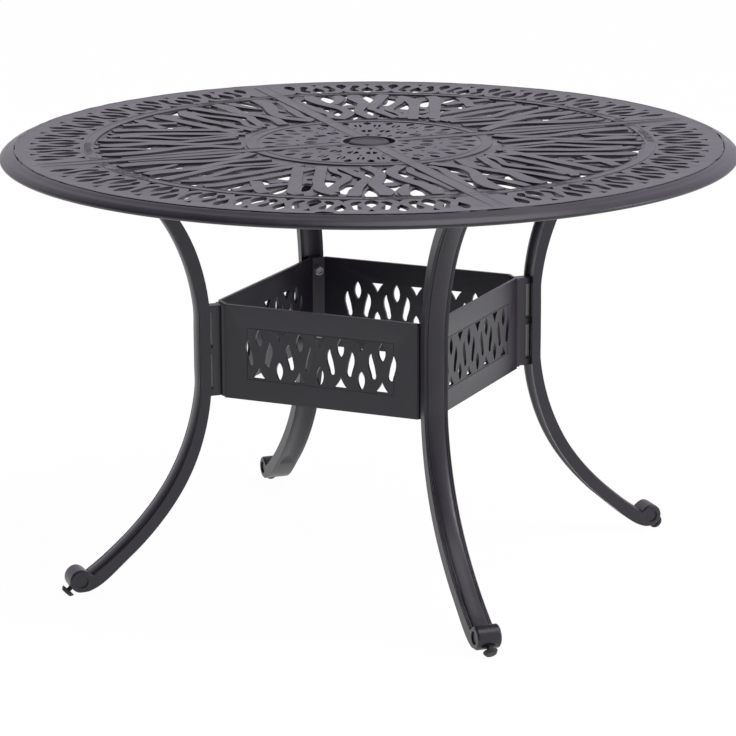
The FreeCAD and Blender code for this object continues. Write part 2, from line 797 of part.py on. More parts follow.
OVAL = [(0, 16, TIP), (4.6, 9), (7, 1), (5.4, -8), (0, -16, TIP), (-5.4, -8), (-7, 1),
        (-4.6, 9)]
TRIANGLE = [(-11.5, 16, TIP), (11.5, 16, TIP), (5, 8), (0, -2, TIP), (-5, 8)]
WINDING_SLOT = [(20.4, 21.5), (24.6, 12), (24.2, 0), (20.2, -13), (15.6, -21.5), (11.4, -19),
                (11, -11), (13, 0), (15.8, 10), (18.2, 18)]
OVAL_TOP = OVAL[0][1]
FIELD_PLACES = 7
FIELD_ENDS = 0.2
field_step = size("field_length") / (FIELD_PLACES + FIELD_ENDS)
oval_lift = size("field_height") / 2 - size("oval_drop")
triangle_lift = size("field_height") / 2 - size("triangle_drop") - OVAL_TOP


def panel_hole(points, middle, flip, mirrored=False):
    """Hole of the panel, turned over about the middle of the field if asked."""
    upside = -1 if flip else 1
    side = -1 if mirrored else 1
    wire = loop([(middle + side * entry[0], upside * entry[1]) + tuple(entry[2:])
                 for entry in points])
    wire.rotate(V(0, 0, 0), V(1, 0, 0), 90)
    return wire


def lifted(points, lift):
    """Hole of the panel moved up the field."""
    return [(x, y + lift) + tuple(rest) for x, y, *rest in points]


def panel_holes():
    """Wires of every hole of the panel, in the panel's plane."""
    wires = []
    for number in range(FIELD_PLACES):
        middle = (number - (FIELD_PLACES - 1) / 2) * field_step
        flip = number % 2 == 1
        wires.append(panel_hole(lifted(OVAL, oval_lift), middle, flip))
        wires.append(panel_hole(lifted(TRIANGLE, triangle_lift), middle, not flip))
        if not flip:
            wires.append(panel_hole(WINDING_SLOT, middle, False))
            wires.append(panel_hole(WINDING_SLOT, middle, False, True))
    return wires


field_z = top_z - size("apron_top_drop") - size("apron_height") / 2
half = size("panel_half_length")
tall = size("apron_height") / 2
sheet = Part.makePolygon([V(-half, 0, -tall), V(half, 0, -tall), V(half, 0, tall),
                          V(-half, 0, tall), V(-half, 0, -tall)])
panel_face = Part.Face(sheet).cut(Part.makeCompound([Part.Face(wire) for wire in panel_holes()]))
panel_face.translate(V(0, size("apron_reach"), field_z))
panel_sheet = extrude("panel_sheet", outline("panel_outline", panel_face), V(0, -1, 0),
                      "panel_thickness")
line_outer = box("line_outer", "field_length", "2 * field_line_depth", "field_height",
                 ("0 - field_length / 2", "apron_reach - field_line_depth",
                  "table_height - apron_top_drop - apron_height / 2 - field_height / 2"))
line_inner = box("line_inner", "field_length - 2 * field_line", "4 * field_line_depth",
                 "field_height - 2 * field_line",
                 ("field_line - field_length / 2", "apron_reach - 2 * field_line_depth",
                  "table_height - apron_top_drop - apron_height / 2 - field_height / 2"
                  " + field_line"))
panel_form = cut("panel_form", panel_sheet, [cut("field_groove", line_outer, [line_inner])])

for corner, azimuth in CORNERS.items():
    name_part(place("apron_panel_" + corner, panel_form, azimuth - 90),
              "apron_panel_" + corner)


def corner_section():
    """Plan of the plate that closes the apron's cut corner, at azimuth 0."""
    reach = size("apron_reach")
    inner = (half + reach) - size("panel_thickness") * math.sqrt(2)
    plan = [(half, reach), (reach, half), (inner - half, half), (half, inner - half)]
    turn = math.radians(-45)
    points = [V(x * math.cos(turn) - y * math.sin(turn), x * math.sin(turn)
                + y * math.cos(turn), top_z - size("apron_top_drop") - size("apron_height"))
              for x, y in plan]
    return Part.Face(Part.makePolygon(points + points[:1]))


corner_solid = extrude("corner_solid", outline("corner_outline", corner_section()), UP,
                       "apron_height")
corner_holes = [cylinder(f"corner_hole_{number}", "bolt_radius + bolt_clearance",
                         "2 * panel_thickness", (pad_r + " - 3 * panel_thickness / 2", "0",
                                                 height), (V(0, 1, 0), 90))
                for number, height in enumerate(corner_heights)]
corner_form = cut("corner_form", corner_solid, corner_holes)
for side, azimuth in SIDES.items():
    name_part(place("corner_plate_" + side, corner_form, azimuth), "corner_plate_" + side)

# Fasteners: hexagon bolts and washers, drawn along +Z from under the head


def hex_bolt(name, grip):
    """Bolt with its head below z = 0 and its shank above."""
    shank = cylinder(name + "_shank", "bolt_radius - bolt_play", f"{grip} - bolt_end_gap",
                     ("0", "0", "0"))
    head = make("Part::Prism", name + "_head", ("0", "0", "0 - bolt_head_height"),
                Circumradius="bolt_head_width / 1.7320508075688772", Height="bolt_head_height")
    head.Polygon = 6
    return join(name, [shank, head])


seat_bolt = hex_bolt("seat_bolt", "flange_thickness + washer_thickness + bolt_thread_length")
corner_bolt = hex_bolt("corner_bolt", "panel_thickness + washer_thickness + bolt_thread_length")
washer_disc = cylinder("washer_disc", "washer_radius", "washer_thickness", ("0", "0", "0"))
washer_hole = cylinder("washer_hole", "bolt_radius + bolt_clearance", "2 * washer_thickness",
                       ("0", "0", "0 - washer_thickness / 2"))
washer_form = cut("washer_form", washer_disc, [washer_hole])


def repeat(label, form, spots, direction):
    """Equal fasteners at spots given at azimuth 0, on all four sides of the table."""
    links = []
    lay = FreeCAD.Rotation(UP, direction)
    for side, azimuth in SIDES.items():
        turn = FreeCAD.Placement(V(0, 0, 0), FreeCAD.Rotation(UP, azimuth))
        for number, spot in enumerate(spots):
            link = doc.addObject("App::Link", f"{label}_{side}_{number}")
            link.setLink(form)
            link.Placement = turn.multiply(FreeCAD.Placement(spot, lay))
            links.append(link)
    return group(label, links)


washer_t = size("washer_thickness")
seat_spots = [V(seat_middle + sign * size("seat_bolt_spacing") / 2, 0, flange_z)
              for sign in (-1, 1)]
corner_r = (size("apron_reach") + half) / math.sqrt(2) - size("panel_thickness")
corner_spots = [V(corner_r, 0, top_z - size("apron_top_drop") - edge)
                for edge in (size("corner_bolt_edge"),
                             size("apron_height") - size("corner_bolt_edge"))]
repeat("leg_washers", washer_form, [spot - UP * washer_t for spot in seat_spots], UP)
repeat("leg_bolts", seat_bolt, [spot - UP * washer_t for spot in seat_spots], UP)
repeat("corner_washers", washer_form, [spot - V(washer_t, 0, 0) for spot in corner_spots],
       V(1, 0, 0))
repeat("corner_bolts", corner_bolt, [spot - V(washer_t, 0, 0) for spot in corner_spots],
       V(1, 0, 0))

# Check every object, then write each sub-part

doc.recompute()
for item in doc.Objects:
    if "Invalid" in item.State or "Error" in item.State:
        raise RuntimeError(f"{item.Name} failed: {item.State}")
for piece in finished:
    shape = Part.getShape(piece)
    if shape.isNull() or not shape.isValid():
        raise RuntimeError(f"{piece.Label} has no valid shape")
    shape.exportStep(f"parts/{piece.Label}.step")
    print(piece.Label, len(shape.Solids), round(shape.Volume), [round(v, 2) for v in (
        shape.BoundBox.XMin, shape.BoundBox.YMin, shape.BoundBox.ZMin, shape.BoundBox.XMax,
        shape.BoundBox.YMax, shape.BoundBox.ZMax)])
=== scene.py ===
"""Round patio table of cast aluminium, dressed for its studio picture.

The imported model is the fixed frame. Each class below holds one part of the table: the pierced
top with its bars and rings, the rolled rim, the cap of the umbrella hole, the sweeping legs
with their scroll feet, the pierced apron, the levelling glides and the fasteners. The studio
comes last. Sizes are in metres and angles in degrees, with the floor at z = 0. Only the tables
of points are in millimetres.
"""

import logging
import math
from dataclasses import dataclass, field
from enum import Enum
from typing import Iterable, Sequence, Union

import bmesh
import bpy
from mathutils import Matrix, Vector


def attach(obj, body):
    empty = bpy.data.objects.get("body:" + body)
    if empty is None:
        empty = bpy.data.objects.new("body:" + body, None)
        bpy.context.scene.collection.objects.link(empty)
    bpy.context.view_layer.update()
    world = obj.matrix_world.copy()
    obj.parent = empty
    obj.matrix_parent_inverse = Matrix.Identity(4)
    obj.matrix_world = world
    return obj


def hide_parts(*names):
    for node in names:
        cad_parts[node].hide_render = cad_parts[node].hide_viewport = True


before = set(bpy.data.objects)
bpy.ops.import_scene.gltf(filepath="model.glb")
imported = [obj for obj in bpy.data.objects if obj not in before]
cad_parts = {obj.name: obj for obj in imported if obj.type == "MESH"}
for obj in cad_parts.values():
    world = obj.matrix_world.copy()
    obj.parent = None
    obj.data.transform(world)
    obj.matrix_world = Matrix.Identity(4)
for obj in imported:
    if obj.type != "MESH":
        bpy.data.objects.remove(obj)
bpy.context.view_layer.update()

LOG = logging.getLogger("umbrella_table")
MM = 0.001
WELD = 1e-5
SEAM_WELD = 1e-6
FULL_TURN = 2 * math.pi
TOP_HEIGHT = 0.728
ROUND_STEPS = 2
MIDDLE_LEVEL = 0.5

# Sockets of a Mix node that mixes colours
MIX_SHARE, MIX_FIRST, MIX_SECOND, MIX_RESULT = 0, 6, 7, 2

Colour = tuple[float, float, float]
Point = tuple[float, float, float]
Profile = Sequence[tuple[float, float]]


class Side(Enum):
    """The four legs, each with the azimuth of its side in degrees."""

    RIGHT = 0
    REAR = 90
    LEFT = 180
    FRONT = 270

    @property
    def label(self) -> str:
        """Word for the side in the names of nodes and pieces."""
        return self.name.lower()

    @property
    def turn(self) -> Matrix:
        """Rotation from the +X side to this one."""
        return Matrix.Rotation(math.radians(self.value), 4, "Z")


class Corner(Enum):
    """The four apron panels, each with the azimuth that it faces in degrees."""

    REAR_RIGHT = 45
    REAR_LEFT = 135
    FRONT_LEFT = 225
    FRONT_RIGHT = 315

    @property
    def label(self) -> str:
        """Words for the corner in the names of nodes and pieces."""
        return self.name.lower()


class Slot(Enum):
    """Material slots of the record."""

    ALUMINIUM = "cast_aluminium"
    CAP = "cap_plastic"
    GLIDE = "glide_plastic"
    STEEL = "fastener_steel"


# Shader sheets

Value = Union["Wire", float]


@dataclass(frozen=True)
class Grain:
    """Noise pattern on an object's own coordinates.

    Attributes:
        scale: Features per metre.
        detail: Octaves.
        roughness: Share of the finer octaves.
        stretch: Scale along each axis.
    """

    scale: float
    detail: float
    roughness: float = 0.5
    stretch: Point = (1.0, 1.0, 1.0)


@dataclass(frozen=True)
class Relief:
    """Grain that dents a surface.

    Attributes:
        grain: The pattern.
        depth: Height of its dents.
        strength: Share of their full effect.
    """

    grain: Grain
    depth: float
    strength: float


@dataclass(frozen=True)
class Wire:
    """A value in a material: one output socket, whose sums and products add Math nodes."""

    sheet: "Sheet"
    socket: bpy.types.NodeSocket

    def _joined(self, operation: str, first: Value, second: Value) -> "Wire":
        """Adds one Math node.

        Args:
            operation: Math operation.
            first: First value.
            second: Second value.

        Returns:
            The node's result.
        """
        return self.sheet.node("ShaderNodeMath", {"operation": operation}, {0: first, 1: second})

    def __add__(self, other: Value) -> "Wire":
        """This value plus another."""
        return self._joined("ADD", self, other)

    def __radd__(self, other: Value) -> "Wire":
        """A number plus this value."""
        return self._joined("ADD", other, self)

    def __sub__(self, other: Value) -> "Wire":
        """This value less another."""
        return self._joined("SUBTRACT", self, other)

    def __rsub__(self, other: Value) -> "Wire":
        """A number less this value."""
        return self._joined("SUBTRACT", other, self)

    def __mul__(self, other: Value) -> "Wire":
        """This value times another."""
        return self._joined("MULTIPLY", self, other)

    def __rmul__(self, other: Value) -> "Wire":
        """A number times this value."""
        return self._joined("MULTIPLY", other, self)


class Sheet:
    """Node tree of a material or of the world, which every node enters through one method."""

    def __init__(self, owner: Union[bpy.types.Material, bpy.types.World]) -> None:
        """Empties the owner's tree.

        Args:
            owner: The material or the world.
        """
        self.owner = owner
        owner.use_nodes = True
        self.tree = owner.node_tree
        self.tree.nodes.clear()

    def node(self, kind: str, settings: dict | None = None, values: dict | None = None,
             output: int | str = 0) -> Wire:
        """Adds a node, sets it up and feeds its sockets.

        Args:
            kind: Type of the node.
            settings: Its properties, and "stops" for a ramp's positions and greys.
            values: Numbers, colours or wires for its sockets, by name or number.
            output: Socket that is handed back.

        Returns:
            The chosen output as a wire.
        """
        made = self.tree.nodes.new(kind)
        for key, setting in (settings or {}).items():
            if key == "stops":
                self._fill_ramp(made.color_ramp, setting)
            else:
                setattr(made, key, setting)
        for key, value in (values or {}).items():
            if isinstance(value, Wire):
                self.tree.links.new(value.socket, made.inputs[key])
            else:
                made.inputs[key].default_value = value
        if not made.outputs:
            return Wire(self, made.inputs[0])
        return Wire(self, made.outputs[output])

    @staticmethod
    def _fill_ramp(ramp: bpy.types.ColorRamp, stops: Sequence[tuple[float, float]]) -> None:
        """Sets a ramp's stops.

        Args:
            ramp: The ramp.
            stops: Position and grey level of each stop, in order.
        """
        while len(ramp.elements) < len(stops):
            ramp.elements.new(1.0)
        for element, (position, level) in zip(ramp.elements, stops):
            element.position = position
            element.color = (level, level, level, 1.0)

    def noise(self, grain: Grain) -> Wire:
        """Noise on the object's own coordinates.

        Args:
            grain: The pattern.

        Returns:
            The noise's level.
        """
        place = self.node("ShaderNodeTexCoord", output="Object")
        spread = self.node("ShaderNodeMapping", {}, {"Vector": place, "Scale": grain.stretch})
        return self.node("ShaderNodeTexNoise", {},
                         {"Vector": spread, "Scale": grain.scale, "Detail": grain.detail,
                          "Roughness": grain.roughness})

    def dented(self, relief: Relief, under: Wire | None = None) -> Wire:
        """Bends the normal along a relief.

        Args:
            relief: The relief.
            under: Normal of a coarser relief below it.

        Returns:
            The bent normal.
        """
        values = {"Height": self.noise(relief.grain), "Distance": relief.depth,
                  "Strength": relief.strength}
        if under is not None:
            values["Normal"] = under
        return self.node("ShaderNodeBump", {}, values)

    def blend(self, share: Value, low: Union[Wire, Sequence[float]],
              high: Union[Wire, Sequence[float]]) -> Wire:
        """Mixes two colours.

        Args:
            share: How much of the second.
            low: First colour.
            high: Second colour.

        Returns:
            The mixed colour.
        """
        first, second = (colour if isinstance(colour, Wire) else (*colour, 1.0)
                         for colour in (low, high))
        return self.node("ShaderNodeMix", {"data_type": "RGBA"},
                         {MIX_SHARE: share, MIX_FIRST: first, MIX_SECOND: second}, MIX_RESULT)

    def layered(self, share: Value, under: Wire, over: Wire) -> Wire:
        """Mixes two shaders.

        Args:
            share: How much of the second.
            under: First shader.
            over: Second shader.

        Returns:
            The mixed shader.
        """
        return self.node("ShaderNodeMixShader", {}, {0: share, 1: under, 2: over})

    def finish(self, surface: Wire, output: str = "ShaderNodeOutputMaterial"
               ) -> Union[bpy.types.Material, bpy.types.World]:
        """Joins the surface to the output.

        Args:
            surface: Shader of the surface.
            output: Type of the output node.

        Returns:
            The material or the world.
        """
        self.node(output, {}, {"Surface": surface})
        return self.owner


# Finishes

@dataclass(frozen=True)
class PowderCoat:
    """Baked charcoal powder coat on a sand casting: fine orange peel over a soft swell."""

    name: str
    dark: Colour = (0.0120, 0.0098, 0.0160)
    light: Colour = (0.0235, 0.0198, 0.0300)
    # Paler coat on convex edges: a painted highlight along them, and rubbed coat
    rubbed_and_highlit: Colour = (0.0620, 0.0580, 0.0680)
    specular: float = 0.50
    roughness: float = 0.35
    roughness_swing: float = 0.12
    mottle: Grain = Grain(16.0, 4.0, 0.6)
    specks: Grain = Grain(620.0, 2.0)
    speck_share: float = 0.3
    tone_span: tuple[float, float] = (0.38, 0.62)
    edge_wear_and_highlight: Sequence[tuple[float, float]] = ((0.53, 0.0), (0.64, 0.5))
    swell: Relief = Relief(Grain(46.0, 3.0, 0.55), 0.00045, 0.6)
    peel: Relief = Relief(Grain(430.0, 3.0), 0.00012, 0.8)

    def build(self) -> bpy.types.Material:
        """Builds the finish.

        Returns:
            The material.
        """
        sheet = Sheet(bpy.data.materials.new(self.name))
        mottle = sheet.noise(self.mottle)
        specks = sheet.noise(self.specks)
        low, high = self.tone_span
        tone = sheet.node("ShaderNodeMapRange", {},
                          {"Value": (1 - self.speck_share) * mottle + self.speck_share * specks,
                           "From Min": low, "From Max": high})
        coat = sheet.blend(tone, self.dark, self.light)
        # Convex edges turn paler by their pointiness: a painted highlight along the edges, and
        # rubbed coat
        ridge = sheet.node("ShaderNodeNewGeometry", output="Pointiness")
        wear_and_highlight = sheet.node("ShaderNodeValToRGB", {"stops": self.edge_wear_and_highlight}, {"Fac": ridge})
        gloss = self.roughness + self.roughness_swing * (mottle - MIDDLE_LEVEL)
        surface = sheet.node("ShaderNodeBsdfPrincipled", {},
                             {"Base Color": sheet.blend(wear_and_highlight, coat, self.rubbed_and_highlit),
                              "Roughness": gloss, "Specular IOR Level": self.specular,
                              "Normal": sheet.dented(self.peel, sheet.dented(self.swell))})
        return sheet.finish(surface)


@dataclass(frozen=True)
class MouldedPlastic:
    """Matt moulded plastic with a fine spark-eroded grain."""

    name: str
    colour: Colour
    pale: Colour
    roughness: float = 0.52
    roughness_swing: float = 0.1
    cloud: Grain = Grain(60.0, 3.0)
    spark: Relief = Relief(Grain(900.0, 2.0), 0.00008, 0.7)

    def build(self) -> bpy.types.Material:
        """Builds the finish.

        Returns:
            The material.
        """
        sheet = Sheet(bpy.data.materials.new(self.name))
        cloud = sheet.noise(self.cloud)
        surface = sheet.node("ShaderNodeBsdfPrincipled", {},
                             {"Base Color": sheet.blend(cloud, self.colour, self.pale),
                              "Roughness": self.roughness + self.roughness_swing * cloud,
                              "Normal": sheet.dented(self.spark)})
        return sheet.finish(surface)


@dataclass(frozen=True)
class ZincSteel:
    """Zinc plated steel with faint rolling marks."""

    name: str
    colour: Colour = (0.42, 0.42, 0.43)
    dull: Colour = (0.22, 0.22, 0.23)
    roughness: float = 0.30
    roughness_swing: float = 0.2
    cloud: Grain = Grain(240.0, 3.0)
    rolling: Relief = Relief(Grain(900.0, 2.0, stretch=(1.0, 1.0, 0.15)), 0.00003, 0.5)

    def build(self) -> bpy.types.Material:
        """Builds the finish.

        Returns:
            The material.
        """
        sheet = Sheet(bpy.data.materials.new(self.name))
        cloud = sheet.noise(self.cloud)
        surface = sheet.node("ShaderNodeBsdfPrincipled", {},
                             {"Base Color": sheet.blend(cloud, self.dull, self.colour),
                              "Roughness": self.roughness + self.roughness_swing * cloud,
                              "Normal": sheet.dented(self.rolling), "Metallic": 1.0})
        return sheet.finish(surface)


# Mesh work

@dataclass(frozen=True)
class Rounding:
    """How a CAD mesh is cleaned and its corners are rounded.

    Attributes:
        width: Width of the rounding on each side.
        corner: Smallest angle that counts as a corner.
        flat: Largest angle between faces that count as one.
    """

    width: float
    corner: float = 50.0
    flat: float = 0.3


def merged_copy(node: str) -> bmesh.types.BMesh:
    """Copies a CAD node's mesh with its loose triangles joined.

    Args:
        node: Name of the node.

    Returns:
        The joined mesh.
    """
    bm = bmesh.new()
    bm.from_mesh(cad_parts[node].data)
    bmesh.ops.remove_doubles(bm, verts=bm.verts, dist=WELD)
    return bm


def flatten(bm: bmesh.types.BMesh, degrees: float = 0.3) -> None:
    """Joins the triangles of each flat face.

    Args:
        bm: The mesh.
        degrees: Largest angle between faces that count as one.
    """
    bmesh.ops.dissolve_limit(bm, angle_limit=math.radians(degrees), use_dissolve_boundaries=False,
                             verts=bm.verts, edges=bm.edges, delimit={"NORMAL"})


def sharp_edges(bm: bmesh.types.BMesh, degrees: float) -> list[bmesh.types.BMEdge]:
    """Finds a mesh's corners.

    Args:
        bm: The mesh.
        degrees: Smallest angle of a corner.

    Returns:
        The edges with two faces that turn by more than the angle.
    """
    limit = math.radians(degrees)
    return [edge for edge in bm.edges if edge.is_manifold and edge.calc_face_angle() > limit]


def soften(bm: bmesh.types.BMesh, edges: Iterable[bmesh.types.BMEdge], width: float) -> None:
    """Rounds edges over.

    Args:
        bm: The mesh.
        edges: Its edges to round.
        width: Width of the rounding on each side.
    """
    bmesh.ops.bevel(bm, geom=list(edges), offset=width, offset_type="OFFSET",
                    segments=ROUND_STEPS, profile=0.5, affect="EDGES", clamp_overlap=True,
                    material=-1)


def rounded_copy(node: str, rounding: Rounding) -> bmesh.types.BMesh:
    """Copies a CAD node's mesh and rounds its corners.

    Args:
        node: Name of the node.
        rounding: How it is cleaned and rounded.

    Returns:
        The rounded mesh.
    """
    bm = merged_copy(node)
    flatten(bm, rounding.flat)
    soften(bm, sharp_edges(bm, rounding.corner), rounding.width)
    return bm


def spun(profile: Profile, steps: int) -> bmesh.types.BMesh:
    """Turns a closed profile round the table's axis.

    Args:
        profile: Radius and height of its points.
        steps: Steps of the full turn.

    Returns:
        The ring.
    """
    bm = bmesh.new()
    points = [bm.verts.new((radius, 0.0, height)) for radius, height in profile]
    edges = [bm.edges.new((points[i - 1], points[i])) for i in range(len(points))]
    bmesh.ops.spin(bm, geom=points + edges, cent=(0, 0, 0), axis=(0, 0, 1), angle=FULL_TURN,
                   steps=steps, use_merge=True)
    bmesh.ops.remove_doubles(bm, verts=bm.verts, dist=SEAM_WELD)
    bmesh.ops.recalc_face_normals(bm, faces=bm.faces)
    return bm


def flowing(points: Sequence[tuple[float, ...]], steps: int) -> list[tuple[float, ...]]:
    """Smooth line through points.

    Args:
        points: Points of the line.
        steps: Steps between two of them.

    Returns:
        The points of the smooth line, ends included.
    """
    line = []
    for index in range(len(points) - 1):
        before = Vector(points[max(index - 1, 0)])
        start, stop = Vector(points[index]), Vector(points[index + 1])
        after = Vector(points[min(index + 2, len(points) - 1)])
        for step in range(steps):
            t = step / steps
            spot = 0.5 * (2 * start + (stop - before) * t
                          + (2 * before - 5 * start + 4 * stop - after) * t ** 2
                          + (3 * start - before - 3 * stop + after) * t ** 3)
            line.append(tuple(spot))
    line.append(tuple(points[-1]))
    return line


def lofted(rings: Sequence[Sequence[Vector]]) -> bmesh.types.BMesh:
    """Closes a skin through rings of equally many points, and both of its ends.

    Args:
        rings: The rings, in order.

    Returns:
        The closed mesh.
    """
    bm = bmesh.new()
    loops = [[bm.verts.new(spot) for spot in ring] for ring in rings]
    for low, high in zip(loops, loops[1:]):
        for index in range(len(low)):
            bm.faces.new((low[index - 1], low[index], high[index], high[index - 1]))
    bm.faces.new(loops[0])
    bm.faces.new(loops[-1])
    bmesh.ops.recalc_face_normals(bm, faces=bm.faces)
    return bm


@dataclass
class Shelf:
    """Turns meshes into the table's pieces and reports them."""

    made: list[str] = field(default_factory=list)
    face_weight: int = 80

    def piece(self, bm: bmesh.types.BMesh, name: str, material: bpy.types.Material, body: str,
              slot: Slot, stands_for: Sequence[str] = (), crease: float = 40.0,
              even: bool = True) -> None:
        """Makes one piece that rides on a body.

        Args:
            bm: Its mesh, which is used up.
            name: Name of the piece.
            material: Its finish.
            body: The body that carries it.
            slot: The record's slot for the piece; not used.
            stands_for: CAD nodes that it replaces.
            crease: Angle in degrees above which an edge stays crisp.
            even: Whether flat faces keep flat shading beside rounded edges.
        """
        mesh = bpy.data.meshes.new(name)
        for face in bm.faces:
            face.smooth = True
            face.material_index = 0
        bm.to_mesh(mesh)
        bm.free()
        stale = mesh.attributes.get("custom_normal")
        if stale:
            mesh.attributes.remove(stale)
        mesh.materials.clear()
        mesh.materials.append(material)
        mesh.set_sharp_from_angle(angle=math.radians(crease))
        obj = bpy.data.objects.new(name, mesh)
        bpy.context.scene.collection.objects.link(obj)
        if even:
            weighted = obj.modifiers.new("even_shading", "WEIGHTED_NORMAL")
            weighted.keep_sharp = True
            weighted.weight = self.face_weight
        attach(obj, body)
        if stands_for:
            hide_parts(*stands_for)
        self.made.append(name)
        LOG.info("%s: %d faces on %s", name, len(mesh.polygons), body)

    def dress(self, node: str, material: bpy.types.Material) -> None:
        """Gives a CAD node that stays its finish.

        Args:
            node: Name of the node.
            material: The finish.
        """
        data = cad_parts[node].data
        data.materials.clear()
        data.materials.append(material)
        self.made.append(node)
        LOG.info("%s: dressed as it is", node)


# The table

# Middle line of each raised ribbon beside a bar: along the bar, across it, and half its width
RIBBONS: tuple[tuple[tuple[float, float, float], ...], ...] = (
    ((445, 52, 9), (425, 47, 12), (400, 46, 13), (377, 47, 12), (356, 51, 12), (333, 57, 11),
     (303, 63, 9), (274, 62, 9.5), (253, 56, 10.5), (230, 39, 11), (213, 24, 10)),
    ((425, 132, 9), (410, 124, 12), (392, 120, 14), (362, 118, 12), (342, 117, 11),
     (321, 108, 11), (303, 97, 10), (280, 85, 9), (256, 79, 9.5), (230, 79, 9.5), (200, 81, 9.5)),
    ((412, 181, 9), (401, 174, 12), (380, 163, 10), (354, 150, 9), (333, 137, 8.5),
     (312, 125, 8.5), (289, 112, 8), (268, 115, 8.5), (245, 116, 9), (222, 118, 8), (192, 121, 8)),
    ((372, 194, 8), (348, 188, 8), (327, 177, 8), (306, 161, 8), (289, 147, 8.5),
     (268, 137, 8), (250, 136, 6), (232, 139, 6), (212, 139, 7), (184, 131, 8)),
    ((389, 201, 7), (370, 205, 10), (350, 206, 12), (333, 204, 12), (304, 196, 9.5),
     (280, 189, 10), (256, 178, 9.5), (230, 168, 9.5), (206, 158, 9.5), (186, 150, 9.5),
     (168, 143, 9)),
    ((367, 252, 9), (350, 252, 12), (333, 248, 11), (304, 236, 10.5), (280, 227, 11),
     (256, 218, 10.5), (230, 207, 9.5), (206, 198, 9.5), (184, 190, 9.5), (160, 178, 9)),
    ((336, 297, 9), (325, 297, 10), (310, 295, 10), (290, 291, 9.5), (268, 287, 9),
     (245, 281, 9)),
    ((434, 101, 7), (420, 98, 9), (403, 93, 9.5), (383, 85, 8), (362, 73, 5.5), (353, 67, 2.5)),
    ((420, 17.5, 4.5), (383, 18, 5), (348, 20, 7), (321, 22, 9), (289, 24, 8.5), (262, 26, 7.5),
     (245, 21, 7), (228, 18, 5)),
)

# Section of a bead, as shares of its width and of its height
BEAD: Profile = ((0.0, -0.5), (0.25, 0.7), (0.5, 1.0), (0.75, 0.7), (1.0, 0.0))


